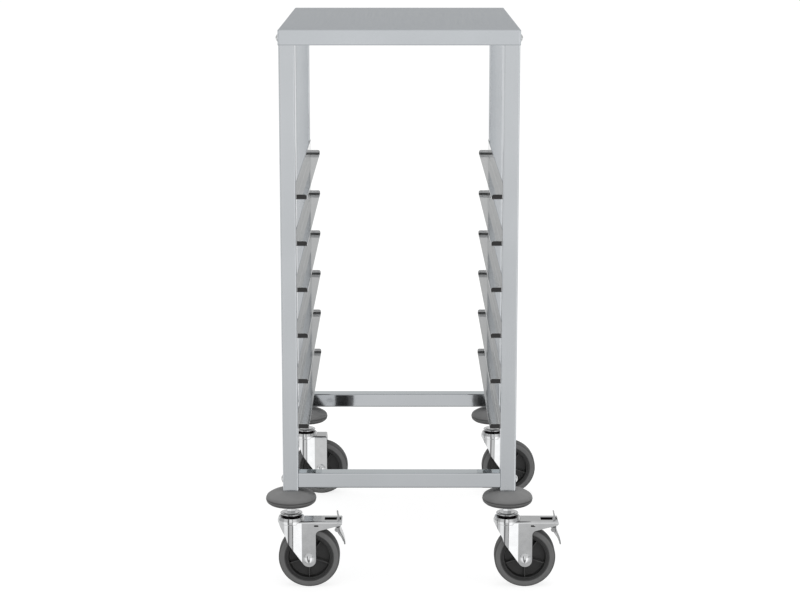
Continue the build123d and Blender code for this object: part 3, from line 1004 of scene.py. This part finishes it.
@dataclass
class Wheels(SubAssembly):
    """Four wheels, each a solid tyre on a ribbed hub."""

    trail: float = 29.0
    radius: float = 50.0
    half_width: float = 14.0
    shoulder: float = 5.0
    seat_radius: float = 39.1
    seat_drop: float = 0.3
    bead: float = 0.5
    bead_groove: Tuple[float, float, float] = (0.9, 1.3, 1.8)
    bead_shade: float = 1.5
    shoulder_steps: int = 12
    tread_points: int = 128
    shoulder_shade_from: float = 47.4
    shoulder_shade_width: float = 1.4
    bore: float = 6.1
    boss_radius: float = 12.0
    boss_half: float = 17.0
    disc_half: float = 3.0
    rim_radius: float = 33.3
    rim_chamfer: float = 1.2
    rim_groove: float = 36.2
    rim_groove_halves: Span = (0.6, 0.2)
    rim_groove_depth: float = 0.5
    fillet: float = 2.0
    hub_shade: Tuple[float, float, float] = (0.6, 0.8, 1.0)
    rib_count: int = 5
    rib_thickness: float = 2.0
    rib_back: float = 0.7
    rib_reach: float = 11.0
    rib_foot: float = 0.2
    rib_rounding: Span = (0.1, 0.5)
    rib_lap: float = 1.0
    rib_first: float = -90.0

    def tyre_outline(self) -> np.ndarray:
        """Return the tyre's outline: a flat tread, round shoulders and a bead groove.

        Half the outline is a row of corners, the other half is its mirror image, and
        each corner is rounded.

        Returns:
            Radius and place across of each point.
        """
        seat, wide = self.seat_radius, self.half_width
        start, middle, end = self.bead_groove
        # Each corner's radius, place across and cut.
        half = np.array(
            [
                (seat, wide - self.seat_drop, 0.2),
                (seat + start, wide, 0.3),
                (seat + middle, wide - self.bead, 0.2),
                (seat + end, wide, 0.3),
                (self.radius, wide, self.shoulder),
            ]
        )
        table = np.vstack([half, half[::-1] * (1, -1, 1)])
        return soften(table[:, :2], table[:, 2], self.shoulder_steps)

    def hub_outline(self) -> Tuple[np.ndarray, np.ndarray]:
        """Return the hub's outline: boss, disc and grooved rim, filleted together.

        Half the outline is a row of corners, the other half is its mirror image, and
        each corner is rounded.

        Returns:
            Radius and place across of each point, and the share of painted shade there.
        """
        rim, wide = self.rim_radius, self.half_width
        groove, floor = self.rim_groove, wide - self.rim_groove_depth
        mouth, bed = self.rim_groove_halves
        light, middling, heavy = self.hub_shade
        # Each corner's radius, place across, cut and share of painted shade; the lightest share
        # darkens the whole hub, the heavier ones paint shade in its rim's corners, its groove and
        # at the tyre's seat.
        half = np.array(
            [
                (self.bore, self.boss_half, 0.3, light),
                (self.boss_radius, self.boss_half, 0.6, light),
                (self.boss_radius, self.disc_half, self.fillet, light),
                (rim, self.disc_half, self.fillet, light),
                (rim, wide - self.rim_chamfer, 0.4, heavy),
                (rim + self.rim_chamfer, wide, 0.4, middling),
                (groove - mouth, wide, 0.2, light),
                (groove - bed, floor, 0.15, heavy),
                (groove + bed, floor, 0.15, heavy),
                (groove + mouth, wide, 0.2, light),
                (self.seat_radius, wide - self.seat_drop, 0.4, heavy),
            ]
        )
        table = np.vstack([half, half[::-1] * (1, -1, 1, 1)])
        return soften(table[:, :2], table[:, 2]), np.repeat(table[:, 3], CORNER_STEPS)

    def ribs(self) -> List[np.ndarray]:
        """Return the hub's ribs as grids, five on each face of the disc.

        A rib's section is a thin trapezium with a rounded back. It is carried outwards
        from boss to rim at the rib's angle, and each end shrinks to a point.

        Returns:
            One grid for each rib, about the wheel's middle.
        """
        thin = self.rib_thickness / 2
        foot, back = self.disc_half - self.rib_foot, self.rib_back * thin
        corners = [(-thin, foot), (-back, self.rib_reach), (back, self.rib_reach), (thin, foot)]
        sharp, blunt = self.rib_rounding
        section = soften(np.array(corners), np.array([sharp, blunt, blunt, sharp]))
        inner, outer = self.boss_radius - self.rib_lap, self.rim_radius + self.rib_lap
        reach = np.array([inner, inner, outer, outer])[:, None]
        rows = np.stack([section] * len(reach))
        rows[[0, -1]] = section.mean(axis=0)
        beside, out = rows[..., 0], rows[..., 1]
        grids = []
        for turn in range(self.rib_count):
            angle = math.radians(self.rib_first + turn * 360.0 / self.rib_count)
            across = reach * math.cos(angle) - beside * math.sin(angle)
            up = reach * math.sin(angle) + beside * math.cos(angle)
            grids += [np.stack([across, face * out, up], axis=-1) for face in (-1, 1)]
        return grids

    def build(self) -> None:
        """Build the four tyres and the four hubs."""
        tyre_line = self.tyre_outline()
        # Painted shade on the tyre: over its rounded shoulders, and next to the hub at the bead.
        painted_shade = np.clip((tyre_line[:, 0] - self.shoulder_shade_from) / self.shoulder_shade_width, 0.0, 1.0)
        painted_shade = np.where(tyre_line[:, 0] < self.seat_radius + self.bead_shade, 1.0, painted_shade)
        hub_line, grime = self.hub_outline()
        for corner, (x, y) in self.corners().items():
            centre = (x + self.trail, y, self.radius)
            tyre = Skin()
            tyre.add(turned(tyre_line, centre, Turning.AXLE, self.tread_points), painted_shade)
            piece = tyre.build(f"rolling_tyre_{corner}")
            self.place(piece, Finish.TYRE, "tyre_grey", f"wheel_{corner}", f"tyre_{corner}")
            hub = Skin()
            hub.add(turned(hub_line, centre, Turning.AXLE), grime)
            for rib in self.ribs():
                hub.add(rib + np.array(centre), np.zeros(len(rib)), closed_rows=False)
            piece = hub.build(f"ribbed_hub_{corner}")
            self.place(piece, Finish.HUB, "hub_plastic", f"wheel_{corner}", f"wheel_hub_{corner}")


@dataclass
class FootBrakes(SubAssembly):
    """The two brake levers, with the turned-in edges of their pedals, and their pins.

    The pedal's line goes down its middle, in millimetres outwards and up from the pivot.
    """

    pivot: Span = (76.5, 108.7)
    line: Tuple[Span, ...] = (
        (2.2, -7.6),
        (2.2, -9.2),
        (4.3, -17.2),
        (7.5, -24.7),
        (9.9, -32.7),
    )
    sheet: float = 2.2
    half_width: float = 14.0
    half_width_end: float = 6.9
    taper_from: float = -14.7
    line_points: int = 40
    edge_thickness: float = 1.6
    edge_height: float = 4.6
    edge_height_end: float = 0.8
    edge_foot: float = 0.3
    edge_rounding: Span = (0.05, 0.2)

    def edge(self, side: int) -> np.ndarray:
        """Return one turned-in edge of a pedal as a grid, about the lever's pivot.

        A thin rounded section is carried down the pedal's inner face, a little inside
        the pedal's own edge. It stands towards the wheel, its height falls by a smooth
        curve from top to bottom, and each end shrinks to a point.

        Args:
            side: -1 for the front edge, 1 for the rear one.

        Returns:
            The grid.
        """
        line = flowing(np.array(self.line), self.line_points)
        ahead = np.gradient(line, axis=0)
        ahead /= np.linalg.norm(ahead, axis=1, keepdims=True)
        inwards = np.stack([ahead[:, 1], -ahead[:, 0]], axis=1)
        share = np.linspace(0.0, 1.0, len(line))
        height = self.edge_height_end + (self.edge_height - self.edge_height_end) * (
            np.cos(math.pi * share) / 2 + 0.5
        )
        taper = (self.taper_from - line[:, 1]) / (self.taper_from - self.line[-1][1])
        narrowing = (self.half_width - self.half_width_end) * np.clip(taper, 0.0, 1.0)
        half = self.half_width - narrowing - self.edge_thickness / 2
        sharp, blunt = self.edge_rounding
        corners = np.array([(-1.0, 0.0), (-1.0, 1.0), (1.0, 1.0), (1.0, 0.0)])
        section = soften(corners, np.array([sharp, blunt, blunt, sharp]))
        foot = self.edge_foot
        out = foot + (self.sheet / 2 - foot + height[:, None]) * section[None, :, 1]
        across = side * half[:, None] + section[None, :, 0] * self.edge_thickness / 2
        outwards, up = (line[:, axis, None] + inwards[:, axis, None] * out for axis in (0, 1))
        grid = np.stack([outwards, across, up], axis=-1)
        ends = grid[[0, -1]].mean(axis=1, keepdims=True) + 0 * grid[[0, -1]]
        return np.concatenate([ends[:1], grid, ends[1:]])

    def build(self) -> None:
        """Dress levers and pins, and build the pedals' turned-in edges."""
        self.dress(brake_lever_=Finish.LEVER, brake_pin_=Finish.BRIGHT)
        for corner, (x, y) in self.corners().items():
            if corner.startswith("rear"):
                continue
            skin = Skin()
            for side in (-1, 1):
                grid = self.edge(side) + np.array([x + self.pivot[0], y, self.pivot[1]])
                skin.add(grid, np.zeros(len(grid)), closed_rows=False)
            piece = skin.build(f"pedal_edges_{corner}")
            self.place(piece, Finish.LEVER, "lever_steel", f"brake_{corner}")


@dataclass
class Studio:
    """A white floor and background, walls that only gloss shows, a lamp and the camera.

    The walls' levels go by the compass angle in degrees, 0 towards the near side and
    positive to the right, or by the height of the direction, -1 straight down to 1
    straight up.
    """

    floor_size: float = 60.0
    floor_grey: float = 152.0
    floor_glow: float = 0.8
    floor_shadow: float = 0.3
    camera_place: Place = (0.001136, -3.508163, 1.144138)
    camera_pitch: float = 10.938
    camera_reach: float = 200.0
    focal_pixels: float = 2067.465
    image_width: int = 800
    sensor: float = 36.0
    shift: float = -0.03
    lamp_place: Place = (0.3, -0.4, 3.2)
    lamp_target: Place = (0.0, 0.0, 0.4)
    lamp_size: float = 2.4
    lamp_power: float = 24.0
    soft_light: float = 0.8
    sides_by_angle: Levels = (
        (-180.0, 1.0),
        (-130.0, 1.0),
        (-110.0, 0.75),
        (-70.0, 0.75),
        (-60.0, 1.15),
        (-34.0, 1.15),
        (-27.0, 0.3),
        (-22.0, 0.14),
        (-15.0, 0.14),
        (10.0, 0.1),
        (13.0, 0.1),
        (15.5, 1.4),
        (36.0, 1.4),
        (60.0, 0.75),
        (110.0, 0.75),
        (130.0, 1.0),
        (180.0, 1.0),
    )
    sides_by_height: Levels = (
        (-1.0, 0.85),
        (-0.8, 0.9),
        (-0.5, 1.0),
        (-0.01, 1.0),
        (0.02, 0.62),
        (0.16, 0.66),
        (0.5, 0.62),
        (1.0, 1.0),
    )
    card_share: Levels = (
        (-180.0, 0.0),
        (-19.0, 0.0),
        (-15.0, 1.0),
        (9.3, 1.0),
        (10.8, 0.0),
        (180.0, 0.0),
    )
    card_by_height: Levels = (
        (-1.0, 0.1),
        (-0.6, 0.3),
        (-0.34, 0.53),
        (-0.312, 0.57),
        (-0.293, 0.77),
        (-0.08, 0.92),
        (0.0, 0.9),
        (0.08, 0.8),
        (0.16, 1.0),
        (0.36, 1.0),
        (1.0, 1.0),
    )
    ceiling_share: Levels = ((-1.0, 0.0), (0.4, 0.0), (0.55, 1.0), (1.0, 1.0))
    ceiling_level: float = 0.72

    def floor(self) -> None:
        """Lay the floor, a level sheet that shows white and keeps the shadow.

        What it throws back on the trolley is a plain grey.
        """
        half = self.floor_size / 2
        mesh = bpy.data.meshes.new("floor")
        mesh.from_pydata(
            [(-half, -half, 0), (half, -half, 0), (half, half, 0), (-half, half, 0)],
            [],
            [(0, 1, 2, 3)],
        )
        floor = bpy.data.objects.new("floor", mesh)
        bpy.context.scene.collection.objects.link(floor)
        material = bpy.data.materials.new("floor_pale")
        material.use_nodes = True
        nodes = Nodes(material.node_tree)
        nodes.tree.nodes.clear()
        plain = nodes.result("BsdfDiffuse", shade(self.floor_grey))
        shadowed = nodes.result("BsdfDiffuse", (self.floor_shadow,) * 3)
        glow = nodes.result("Emission", WHITE, self.floor_glow)
        shown = nodes.result("AddShader", shadowed, glow)
        seen = ("Is Camera Ray", "Is Glossy Ray", "Is Transmission Ray")
        nodes.add("OutputMaterial", nodes.choose(seen, shown, plain))
        mesh.materials.append(material)
        floor.visible_glossy = False

    def surround(self) -> None:
        """Light the scene evenly from all round.

        The camera sees plain white behind the object, and its gloss shows the walls.
        """
        world = bpy.data.worlds.new("studio")
        bpy.context.scene.world = world
        world.use_nodes = True
        nodes = Nodes(world.node_tree)
        nodes.tree.nodes.clear()
        white = nodes.result("Background", WHITE)
        soft = nodes.result("Background", WHITE, self.soft_light)
        walls = nodes.result("Background", self.walls(nodes))
        lit = nodes.choose(("Is Glossy Ray", "Is Transmission Ray"), walls, soft)
        nodes.add("OutputWorld", nodes.choose(("Is Camera Ray",), white, lit))

    def walls(self, nodes: Nodes) -> Socket:
        """Return the studio's walls: pale, with a grey card and dark flags on the near side.

        The flags are a ramp over the compass angle, and a ramp over the height dims the
        walls above the horizon. The card that faces the object has a ramp over the
        height of its own, and overhead all of them give way to a plain ceiling.

        Args:
            nodes: the world's nodes.

        Returns:
            The walls' colour in each direction.
        """
        split = nodes.add("SeparateXYZ", nodes.add("TexCoord").outputs["Generated"])
        right, height = split.outputs["X"], split.outputs["Z"]
        near = nodes.result("Math", split.outputs["Y"], -1.0, operation="MULTIPLY")
        angle = nodes.result("Math", right, near, operation="ARCTAN2")
        compass = nodes.result("Math", angle, operation="DEGREES")
        flags = nodes.ramp(compass, self.sides_by_angle)
        sides = nodes.mixed(1.0, flags, nodes.ramp(height, self.sides_by_height), "MULTIPLY")
        card = nodes.ramp(height, self.card_by_height)
        round_about = nodes.mixed(nodes.ramp(compass, self.card_share), sides, card)
        ceiling = (self.ceiling_level,) * 3
        return nodes.mixed(nodes.ramp(height, self.ceiling_share), round_about, ceiling)

    def lamp(self) -> None:
        """Hang a soft square lamp that polished steel doesn't mirror."""
        data = bpy.data.lights.new("overhead", "AREA")
        data.shape = "RECTANGLE"
        data.size = data.size_y = self.lamp_size
        data.energy = self.lamp_power
        lamp = bpy.data.objects.new("overhead", data)
        bpy.context.scene.collection.objects.link(lamp)
        lamp.location = self.lamp_place
        lamp.rotation_mode = "QUATERNION"
        aim = Vector(self.lamp_target) - Vector(self.lamp_place)
        lamp.rotation_quaternion = aim.to_track_quat("-Z", "Y")
        lamp.visible_glossy = False

    def camera(self) -> None:
        """Stand the camera where the photograph was taken from."""
        data = bpy.data.cameras.new("camera")
        data.sensor_width = self.sensor
        data.lens = self.sensor * self.focal_pixels / self.image_width
        data.shift_y = self.shift
        data.clip_end = self.camera_reach
        camera = bpy.data.objects.new("camera", data)
        bpy.context.scene.collection.objects.link(camera)
        camera.location = self.camera_place
        camera.rotation_euler = (math.radians(90.0 - self.camera_pitch), 0.0, 0.0)
        bpy.context.scene.camera = camera

    def build(self) -> None:
        """Set up the whole studio."""
        self.camera()
        self.floor()
        self.surround()
        self.lamp()
        bpy.context.scene.view_settings.view_transform = "Standard"


def main() -> None:
    """Build the trolley's looks, one sub-assembly after another."""
    logging.basicConfig(level=logging.INFO, format="%(name)s: %(message)s")
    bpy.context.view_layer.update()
    Studio().build()
    wardrobe = Wardrobe()
    kinds = (Worktop, TubeFrame, TrayRails, Bumpers, SwivelHeads, Forks, Wheels, FootBrakes)
    for kind in kinds:
        kind(wardrobe).build()
    shown = [name for name, node in frame["nodes"].items() if not node.hide_render]
    missed = sorted(set(shown) - set(wardrobe.dressed))
    log.info("%d pieces are dressed, left bare: %s", len(wardrobe.dressed), missed)


if __name__ == "__main__":
    main()
